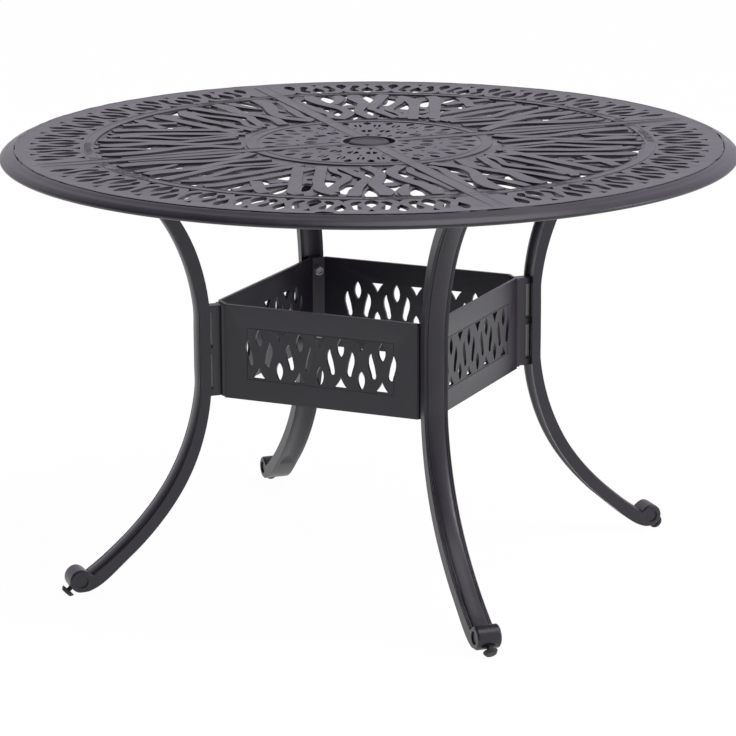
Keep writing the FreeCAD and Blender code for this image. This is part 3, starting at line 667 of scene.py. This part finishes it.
@dataclass
class Top:
    """Pierced top: sunken tracery between raised bars and rings, and the hub's recess."""

    shelf: Shelf
    coat: bpy.types.Material
    surface: float = TOP_HEIGHT
    plate: float = 0.007
    hub_edge: float = 0.0495
    tracery_inner: float = 0.2040
    tracery_outer: float = 0.4545
    border_outer: float = 0.5625
    shallow: float = 0.0012
    deep: float = 0.0034
    fade: float = 0.0012
    ribbon_depth: float = 0.0042
    ribbon_round: float = 0.0008
    ribbon_step: float = 0.00012
    ribbon_steps: int = 4
    crease_radius: float = 0.5876
    face_slack: float = 0.0004
    corner_slack: float = 0.0001
    edge_slack: float = 0.0006
    ring_edge: float = 0.5842
    lip_slack: float = 0.0002
    lip_margin: float = 0.002
    hole_round: float = 0.0011
    bar_half: float = 0.012
    bar_start: float = 0.0475
    bar_lap: float = 0.001
    bar_drop: float = 0.0007
    ring_drop: float = 0.0012
    band_depth: float = 0.005
    bead_width: float = 0.0022
    bead_height: float = 0.0007
    rings: tuple[tuple[float, float], ...] = ((0.4545, 0.4730), (0.1855, 0.2040))
    ring_steps: int = 288
    corner: float = 60.0

    def sunken(self, radius: float) -> float:
        """How far the tracery lies below the rings at a radius.

        Args:
            radius: Distance from the table's axis.

        Returns:
            The drop in metres.
        """
        drop = 0.0
        for depth, inner, outer in (
                (self.shallow, self.hub_edge, self.border_outer),
                (self.deep - self.shallow, self.tracery_inner, self.tracery_outer)):
            room = min(radius - inner, outer - radius)
            share = max(0.0, min(1.0, room / self.fade))
            drop += depth * share * share * (3 - 2 * share)
        return drop

    def build_casting(self) -> None:
        """Softens the casting's holes and sinks its tracery."""
        bm = merged_copy("table_top")
        beyond = self.crease_radius - self.face_slack
        reach = self.crease_radius - self.corner_slack
        outside = [face for face in bm.faces
                   if face.calc_center_median().xy.length > beyond
                   or min(vert.co.xy.length for vert in face.verts) > reach]
        bmesh.ops.delete(bm, geom=outside, context="FACES")
        bmesh.ops.bridge_loops(bm, edges=[edge for edge in bm.edges if edge.is_boundary])
        for vert in bm.verts:
            if vert.co.xy.length > self.crease_radius - self.edge_slack:
                vert.co.xy *= self.ring_edge / vert.co.xy.length
        flatten(bm)
        level = self.surface - self.lip_slack
        lips = [edge for edge in sharp_edges(bm, self.corner)
                if all(vert.co.z > level for vert in edge.verts)
                and edge.verts[0].co.xy.length < self.ring_edge - self.lip_margin]
        soften(bm, lips, self.hole_round)
        for vert in bm.verts:
            if vert.co.z > self.surface - 0.5 * self.plate:
                vert.co.z -= self.sunken(vert.co.xy.length)
        bmesh.ops.triangulate(bm, faces=[face for face in bm.faces if len(face.verts) > 4])
        self.shelf.piece(bm, "pierced_top", self.coat, "table", Slot.ALUMINIUM, ["table_top"])

    def beaded(self, low: float, high: float, drop: float) -> Profile:
        """Section of a raised band with a bead along each edge.

        Args:
            low: Its lower limit across.
            high: Its upper limit across.
            drop: How far its flat lies under the top's surface.

        Returns:
            The closed section, as distance across and height.
        """
        top = self.surface - drop
        bottom = self.surface - self.band_depth
        bead = [(across * self.bead_width, rise * self.bead_height) for across, rise in BEAD]
        left = [(low + across, top + rise) for across, rise in bead]
        right = [(high - across, top + rise) for across, rise in reversed(bead)]
        return [(low, bottom), *left, *right, (high, bottom)]

    def build_rings(self) -> None:
        """The two raised rings."""
        for name, (inner, outer) in zip(("middle_ring", "medallion_ring"), self.rings):
            section = self.beaded(inner, outer, self.ring_drop)
            self.shelf.piece(spun(section, self.ring_steps), name, self.coat, "table",
                             Slot.ALUMINIUM, crease=self.corner)

    def build_bars(self) -> None:
        """The two crossed bars, as four arms from the hub to the rim's flat ring."""
        section = self.beaded(-self.bar_half, self.bar_half, self.bar_drop)
        length = self.border_outer + self.bar_lap - self.bar_start
        bm = bmesh.new()
        for side in Side:
            points = [bm.verts.new((self.bar_start, across, height))
                      for across, height in section]
            end = bm.faces.new(points)
            grown = bmesh.ops.extrude_face_region(bm, geom=[end])["geom"]
            moved = [item for item in grown if isinstance(item, bmesh.types.BMVert)]
            bmesh.ops.translate(bm, verts=moved, vec=(length, 0, 0))
            bmesh.ops.rotate(bm, verts=points + moved, cent=(0, 0, 0), matrix=side.turn)
        bmesh.ops.recalc_face_normals(bm, faces=bm.faces)
        self.shelf.piece(bm, "top_bars", self.coat, "table", Slot.ALUMINIUM,
                         crease=self.corner)

    def build_ribbons(self) -> None:
        """The raised ribbons that wind between the rings, mirrored across every bar."""
        bm = bmesh.new()
        for index, ribbon in enumerate(RIBBONS):
            line = flowing(ribbon, self.ribbon_steps)
            left, right = [], []
            for spot, (along, across, half) in enumerate(line):
                before = line[max(spot - 1, 0)]
                after = line[min(spot + 1, len(line) - 1)]
                ahead = Vector((after[0] - before[0], after[1] - before[1])).normalized()
                aside = Vector((-ahead.y, ahead.x)) * half
                left.append(Vector((along, across)) + aside)
                right.append(Vector((along, across)) - aside)
            top = self.surface - self.ribbon_step * (1 + index)
            for side in Side:
                for flip in (1, -1):
                    height = top - (self.ribbon_step / 2 if flip < 0 else 0.0)
                    rim = [bm.verts.new((spot.x * MM, spot.y * MM * flip, height))
                           for spot in left + right[::-1]]
                    face = bm.faces.new(rim)
                    grown = bmesh.ops.extrude_face_region(bm, geom=[face])["geom"]
                    sunk = [item for item in grown if isinstance(item, bmesh.types.BMVert)]
                    bmesh.ops.translate(bm, verts=sunk, vec=(0, 0, -self.ribbon_depth))
                    bmesh.ops.rotate(bm, verts=rim + sunk, cent=(0, 0, 0), matrix=side.turn)
        bmesh.ops.recalc_face_normals(bm, faces=bm.faces)
        floor = self.surface - self.ribbon_step * (2 + len(RIBBONS))
        brims = [edge for edge in sharp_edges(bm, self.corner)
                 if all(vert.co.z > floor for vert in edge.verts)]
        soften(bm, brims, self.ribbon_round)
        self.shelf.piece(bm, "raised_ribbons", self.coat, "table", Slot.ALUMINIUM)

    def build(self) -> None:
        """Builds the whole top."""
        self.build_casting()
        self.build_ribbons()
        self.build_rings()
        self.build_bars()


# Section of the rim, as distance in from its outermost circle and drop from the top's surface:
# the flat ring down to the crease, the round skin of the roll, and the hollow underneath
RIM_CREASE: Profile = ((28.4, 4.5), (28.4, 0.0), (26.0, 0.0), (25.4, 0.4), (24.6, 2.2))
RIM_ROLL: Profile = ((24.0, 1.2), (22.2, 1.3), (18.6, 2.7), (13.9, 5.1), (8.4, 7.4), (4.3, 10.3),
                     (1.4, 13.0), (0.0, 15.1), (0.5, 17.1), (2.0, 19.0), (4.5, 20.2), (7.5, 20.5))
RIM_HOLLOW: Profile = ((12.0, 20.5), (15.0, 10.0), (29.4, 7.0), (29.4, 5.5))


@dataclass
class Rim:
    """Rolled rim: a crease behind the flat ring and a full round roll."""

    shelf: Shelf
    coat: bpy.types.Material
    surface: float = TOP_HEIGHT
    radius: float = 0.60955
    roll_steps: int = 3
    steps: int = 320
    crease: float = 50.0

    def section(self) -> Profile:
        """Closed section of the rim.

        Returns:
            Radius and height of its points.
        """
        line = [*RIM_CREASE, *flowing(RIM_ROLL, self.roll_steps), *RIM_HOLLOW]
        return [(self.radius - inset * MM, self.surface - drop * MM) for inset, drop in line]

    def build(self) -> None:
        """Builds the rim."""
        self.shelf.piece(spun(self.section(), self.steps), "rolled_rim", self.coat, "table",
                         Slot.ALUMINIUM, crease=self.crease, even=False)


@dataclass
class Cap:
    """Cap of the umbrella hole."""

    shelf: Shelf
    plastic: bpy.types.Material
    rounding: Rounding = Rounding(0.0006, 30.0, 1.0)

    def build(self) -> None:
        """Builds the cap."""
        bm = rounded_copy("umbrella_hole_cap", self.rounding)
        self.shelf.piece(bm, "hole_cap", self.plastic, "cap", Slot.CAP, ["umbrella_hole_cap"])


# Outer edge of a leg from its seat to its scroll, as reach and height
LEG_EDGE: Profile = (
    (425.69, 700.86), (401.13, 676.77), (378.53, 650.77), (358.31, 623.0), (341.06, 593.55),
    (327.05, 562.39), (315.92, 529.92), (307.94, 496.44), (303.2, 463.0), (303.2, 430.5),
    (303.2, 398.0), (303.2, 365.5), (303.2, 333.0), (309.28, 294.34), (319.67, 255.88),
    (334.18, 218.83), (352.39, 183.65), (374.53, 150.78), (400.09, 120.13), (428.27, 91.68),
    (458.46, 65.51), (478.2, 49.9), (497.0, 37.0))

# Inner edge of a leg, as reach and height
LEG_INNER_EDGE: Profile = (
    (412.71, 715.14), (387.09, 690.01), (363.45, 662.81), (342.19, 633.61), (323.89, 602.37),
    (309.22, 569.23), (298.49, 534.67), (291.16, 499.35), (287.2, 463.0), (287.2, 430.5),
    (287.2, 398.0), (287.2, 365.5), (287.2, 333.0), (292.57, 291.01), (302.45, 250.45),
    (316.72, 211.11), (335.79, 173.81), (359.13, 139.15), (385.83, 107.12), (415.11, 77.57),
    (446.34, 50.49))

# Half the section of a leg's crown and its two beads, as distance across and height
CROWN: Profile = (
    (0.0, 3.9), (3.5, 3.75), (7.0, 3.3), (10.0, 2.7), (12.2, 1.95), (13.2, 1.2), (14.0, 0.1),
    (14.9, 0.0), (15.3, 0.75), (15.9, 1.15), (16.5, 0.75), (16.9, 0.0), (17.7, 0.0),
    (18.1, 0.65), (18.6, 0.95), (19.1, 0.55), (19.4, -0.6))

# Half the section of the cove along a leg's inner side
COVE: Profile = (
    (0.0, -5.4), (4.0, -4.95), (7.5, -3.8), (10.5, -2.3), (13.0, -0.7), (14.4, 0.05),
    (15.4, 0.05), (15.6, -0.8))


@dataclass
class Legs:
    """Four sweeping legs with round crowns and beaded edges that end in scrolls."""

    shelf: Shelf
    coat: bpy.types.Material
    rounding: Rounding = Rounding(0.0013, 32.0, 0.5)
    crease: float = 50.0
    half_width: float = 0.0205
    scroll_centre: tuple[float, float] = (0.5164, 0.02878)
    scroll_band: tuple[float, float] = (0.0175, 0.0212)
    scroll_arc: tuple[float, float] = (-112.0, 152.0)
    scroll_fade: float = 24.0
    scroll_round: float = 0.0038
    scroll_cuts: tuple[float, ...] = (0.0006, 0.0014, 0.0025, 0.0038)
    crown_root: float = 1.5
    cove_root: float = 7.4
    strip_steps: int = 4
    strip_crease: float = 75.0

    def around(self, spot: Vector) -> Vector:
        """Way from the scroll's centre to a spot of the leg on the +X side.

        Args:
            spot: The spot.

        Returns:
            The way outwards and upwards.
        """
        return Vector((spot.x - self.scroll_centre[0], spot.z - self.scroll_centre[1]))

    def cut_scroll(self, bm: bmesh.types.BMesh, side: Side) -> None:
        """Cuts bands into the skin of a leg's scroll, along both of its rims.

        Args:
            bm: The leg's mesh.
            side: Which leg.
        """
        turn = side.turn
        back = turn.inverted()
        inner, outer = self.scroll_band
        for way in (1, -1):
            for inset in self.scroll_cuts:
                skin = [face for face in bm.faces
                        if all(inner < self.around(back @ vert.co).length < outer
                               for vert in face.verts)]
                parts = dict.fromkeys(item for face in skin
                                      for item in (face, *face.edges, *face.verts))
                plane = turn @ Vector((0.0, way * (self.half_width - inset), 0.0))
                bmesh.ops.bisect_plane(bm, geom=list(parts), dist=WELD, plane_co=plane,
                                       plane_no=turn @ Vector((0.0, 1.0, 0.0)))

    def round_scroll(self, bm: bmesh.types.BMesh, side: Side) -> None:
        """Pulls the bands of a leg's scroll in to round rims, which fade into the leg.

        Args:
            bm: The leg's mesh.
            side: Which leg.
        """
        turn = side.turn
        back = turn.inverted()
        inner, outer = self.scroll_band
        low, high = self.scroll_arc
        for vert in bm.verts:
            spot = back @ vert.co
            way = self.around(spot)
            inset = self.half_width - abs(spot.y)
            if inner < way.length < outer and inset < self.scroll_round:
                angle = math.degrees(math.atan2(way.y, way.x))
                share = max(0.0, min(1.0, (angle - low) / self.scroll_fade,
                                     (high - angle) / self.scroll_fade))
                rest = self.scroll_round - inset
                drop = self.scroll_round - math.sqrt(max(0.0, self.scroll_round ** 2 - rest ** 2))
                pulled = way * (-share * drop / way.length)
                vert.co = turn @ Vector((spot.x + pulled.x, spot.y, spot.z + pulled.y))

    def build_strip(self, name: str, edge: Profile, half: Profile, root: float,
                    way: int) -> None:
        """One strip along every leg.

        Args:
            name: Name of the piece.
            edge: The leg's edge that it follows, from the seat down.
            half: Half of its section, from the middle outwards.
            root: How deep its back lies in the leg, in millimetres.
            way: 1 for the outer edge, -1 for the inner one.
        """
        section = [(-across, height) for across, height in reversed(half[1:])] + list(half)
        section += [(half[-1][0], -root), (-half[-1][0], -root)]
        line = flowing(edge, self.strip_steps)
        rings = []
        for index, (out, up) in enumerate(line):
            before = line[max(index - 1, 0)]
            after = line[min(index + 1, len(line) - 1)]
            ahead = way * Vector((after[0] - before[0], after[1] - before[1])).normalized()
            rings.append([Vector((out - ahead.y * height, across, up + ahead.x * height)) * MM
                          for across, height in section])
        bm = lofted(rings)
        whole = bm.verts[:] + bm.edges[:] + bm.faces[:]
        for side in list(Side)[1:]:
            grown = bmesh.ops.duplicate(bm, geom=whole)["geom"]
            moved = [item for item in grown if isinstance(item, bmesh.types.BMVert)]
            bmesh.ops.rotate(bm, verts=moved, cent=(0, 0, 0), matrix=side.turn)
        self.shelf.piece(bm, name, self.coat, "table", Slot.ALUMINIUM,
                         crease=self.strip_crease)

    def build(self) -> None:
        """Builds the legs."""
        for side in Side:
            node = f"leg_{side.label}"
            bm = merged_copy(node)
            flatten(bm, self.rounding.flat)
            self.cut_scroll(bm, side)
            self.round_scroll(bm, side)
            soften(bm, sharp_edges(bm, self.rounding.corner), self.rounding.width)
            self.shelf.piece(bm, f"sweeping_leg_{side.label}", self.coat, "table",
                             Slot.ALUMINIUM, [node], crease=self.crease)
        self.build_strip("leg_crowns", LEG_EDGE, CROWN, self.crown_root, 1)
        self.build_strip("leg_coves", LEG_INNER_EDGE, COVE, self.cove_root, -1)


@dataclass
class Apron:
    """Square apron: pierced panels, and the plates that hold them inside each leg."""

    shelf: Shelf
    coat: bpy.types.Material
    rounding: Rounding = Rounding(0.0008)

    def build(self) -> None:
        """Builds the panels and the plates."""
        for sides, stem, title in ((Corner, "apron_panel", "pierced_panel"),
                                   (Side, "corner_plate", "inner_plate")):
            for side in sides:
                node = f"{stem}_{side.label}"
                self.shelf.piece(rounded_copy(node, self.rounding), f"{title}_{side.label}",
                                 self.coat, "table", Slot.ALUMINIUM, [node])


@dataclass
class Glides:
    """Levelling glides and the bushings that hold them."""

    shelf: Shelf
    plastic: bpy.types.Material
    rounding: Rounding = Rounding(0.0008, 30.0, 1.0)

    def build(self) -> None:
        """Builds the glides and dresses their bushings."""
        for side in Side:
            node = f"leveling_glide_{side.label}"
            self.shelf.piece(rounded_copy(node, self.rounding), f"foot_glide_{side.label}",
                             self.plastic, f"glide_{side.label}", Slot.GLIDE, [node])
            self.shelf.dress(f"glide_bushing_{side.label}", self.plastic)


@dataclass
class Fasteners:
    """Bolts and washers of the legs and the apron."""

    shelf: Shelf
    steel: bpy.types.Material
    rounding: Rounding = Rounding(0.0005)
    head_sides: int = 6
    head_area: float = 6e-5
    dish_rim: float = 0.0022
    dish_slope: float = 0.0005
    dish_depth: float = 0.0032

    def build_corner_bolts(self) -> None:
        """The bolts inside the apron, whose heads are dished."""
        bm = merged_copy("corner_bolts")
        flatten(bm, self.rounding.flat)
        heads = [face for face in bm.faces
                 if len(face.verts) == self.head_sides and face.calc_area() > self.head_area
                 and face.calc_center_median().xy.dot(face.normal.xy) < 0]
        bmesh.ops.inset_individual(bm, faces=heads, thickness=self.dish_rim, depth=0.0)
        bmesh.ops.inset_individual(bm, faces=heads, thickness=self.dish_slope,
                                   depth=-self.dish_depth)
        soften(bm, sharp_edges(bm, self.rounding.corner), self.rounding.width)
        self.shelf.piece(bm, "dished_corner_bolts", self.steel, "table", Slot.STEEL,
                         ["corner_bolts"])

    def build(self) -> None:
        """Builds the bolts that show and dresses the rest."""
        self.build_corner_bolts()
        for node in ("leg_bolts", "leg_washers", "corner_washers"):
            self.shelf.dress(node, self.steel)


# The studio

@dataclass(frozen=True)
class SoftBox:
    """Square soft lamp."""

    name: str
    place: Point
    width: float
    watts: float

    def hang(self, aim: Vector) -> None:
        """Hangs the lamp.

        Args:
            aim: The spot that it faces.
        """
        data = bpy.data.lights.new(self.name, "AREA")
        data.shape = "SQUARE"
        data.size = self.width
        data.energy = self.watts
        lamp = bpy.data.objects.new(self.name, data)
        bpy.context.scene.collection.objects.link(lamp)
        lamp.location = self.place
        lamp.rotation_euler = (aim - Vector(self.place)).to_track_quat("-Z", "Y").to_euler()


@dataclass
class Studio:
    """Pale floor, white surroundings, soft lamps and the camera."""

    floor_radius: float = 40.0
    floor_sides: int = 96
    floor_colour: Colour = (0.80, 0.80, 0.80)
    floor_white: float = 0.95
    floor_glow: float = 1.025
    sky_colour: Colour = (0.937, 0.888, 1.0)
    sky_gain: float = 1.04
    sky_level: float = 0.70
    sky_gloss: float = 0.92
    dark_way: Point = (-0.77, -0.28, 0.57)
    dark_level: float = 0.26
    dark_spread: tuple[float, float] = (0.10, 0.85)
    lamps: tuple[SoftBox, ...] = (SoftBox("overhead_box", (0.6, -1.2, 3.6), 2.6, 60.0),
                                  SoftBox("right_box", (3.4, -1.8, 1.9), 1.0, 44.0))
    lamp_aim: Point = (0.0, 0.0, 0.4)
    lens: float = 166.33
    sensor_width: float = 36.0
    clip: tuple[float, float] = (0.1, 200.0)
    camera_place: Point = (-1.9278, -5.1982, 1.7728)
    heading: float = 69.69
    pitch: float = 14.491
    roll: float = 0.278

    def build_floor(self) -> None:
        """The floor, a wide disc that keeps the table's shadow."""
        bm = bmesh.new()
        bmesh.ops.create_circle(bm, cap_ends=True, segments=self.floor_sides,
                                radius=self.floor_radius)
        mesh = bpy.data.meshes.new("studio_floor")
        bm.to_mesh(mesh)
        bm.free()
        floor = bpy.data.objects.new("studio_floor", mesh)
        bpy.context.scene.collection.objects.link(floor)
        sheet = Sheet(bpy.data.materials.new("pale_floor"))
        seen = (sheet.node("ShaderNodeLightPath", output="Is Camera Ray")
                + sheet.node("ShaderNodeLightPath", output="Is Glossy Ray"))
        matt = sheet.node("ShaderNodeBsdfDiffuse", {}, {"Color": (*self.floor_colour, 1.0)})
        glow = sheet.node("ShaderNodeEmission", {}, {"Strength": self.floor_glow})
        mesh.materials.append(sheet.finish(sheet.layered(seen * self.floor_white, matt, glow)))

    def build_sky(self) -> None:
        """White surroundings, plain to the eye, that fall off behind the camera's left."""
        world = bpy.data.worlds.new("studio_white")
        bpy.context.scene.world = world
        sheet = Sheet(world)
        seen = sheet.node("ShaderNodeLightPath", output="Is Camera Ray")
        mirrored = sheet.node("ShaderNodeLightPath", output="Is Glossy Ray")
        toward = sheet.node("ShaderNodeVectorMath", {"operation": "DOT_PRODUCT"},
                            {0: sheet.node("ShaderNodeTexCoord", output="Generated"),
                             1: self.dark_way}, "Value")
        near, far = self.dark_spread
        room = sheet.node("ShaderNodeMapRange", {"interpolation_type": "SMOOTHSTEP"},
                          {"Value": toward, "From Min": near, "From Max": far,
                           "To Min": 1.0, "To Max": self.dark_level})
        level = room * (self.sky_level + mirrored * (self.sky_gloss - self.sky_level))
        black = sheet.node("ShaderNodeBackground", {}, {"Strength": 0.0})
        tinted = sheet.node("ShaderNodeBackground", {},
                            {"Color": (*self.sky_colour, 1.0), "Strength": self.sky_gain})
        white = sheet.node("ShaderNodeBackground", {}, {"Color": (1.0, 1.0, 1.0, 1.0)})
        lit = sheet.layered(level, black, tinted)
        sheet.finish(sheet.layered(seen, lit, white), "ShaderNodeOutputWorld")

    def build_camera(self) -> None:
        """The camera at the photograph's viewing angle."""
        azimuth, pitch = math.radians(self.heading), math.radians(self.pitch)
        roll = math.radians(self.roll)
        ahead = Vector((math.cos(azimuth) * math.cos(pitch), math.sin(azimuth) * math.cos(pitch),
                        -math.sin(pitch)))
        level = ahead.cross(Vector((0, 0, 1))).normalized()
        down = ahead.cross(level)
        right = level * math.cos(roll) + down * math.sin(roll)
        under = down * math.cos(roll) - level * math.sin(roll)
        turn = Matrix((right, -under, -ahead)).transposed()
        data = bpy.data.cameras.new("studio_camera")
        data.lens = self.lens
        data.sensor_width = self.sensor_width
        data.clip_start, data.clip_end = self.clip
        camera = bpy.data.objects.new("studio_camera", data)
        bpy.context.scene.collection.objects.link(camera)
        camera.matrix_world = Matrix.Translation(self.camera_place) @ turn.to_4x4()
        bpy.context.scene.camera = camera

    def build(self) -> None:
        """Builds the studio."""
        bpy.context.scene.view_settings.view_transform = "Standard"
        self.build_floor()
        self.build_sky()
        for lamp in self.lamps:
            lamp.hang(Vector(self.lamp_aim))
        self.build_camera()


def main() -> None:
    """Builds the table and its studio, and reports each piece."""
    logging.basicConfig(level=logging.INFO, format="%(name)s %(message)s")
    coat = PowderCoat("charcoal_powder_coat").build()
    cap_plastic = MouldedPlastic("cap_plastic_grain", (0.022, 0.021, 0.026),
                                 (0.034, 0.032, 0.038)).build()
    glide_plastic = MouldedPlastic("glide_plastic_grain", (0.012, 0.012, 0.014),
                                   (0.022, 0.022, 0.025)).build()
    steel = ZincSteel("zinc_steel").build()
    shelf = Shelf()
    Studio().build()
    Top(shelf, coat).build()
    Rim(shelf, coat).build()
    Cap(shelf, cap_plastic).build()
    Legs(shelf, coat).build()
    Apron(shelf, coat).build()
    Glides(shelf, glide_plastic).build()
    Fasteners(shelf, steel).build()
    LOG.info("%d pieces", len(shelf.made))


if __name__ == "__main__":
    main()
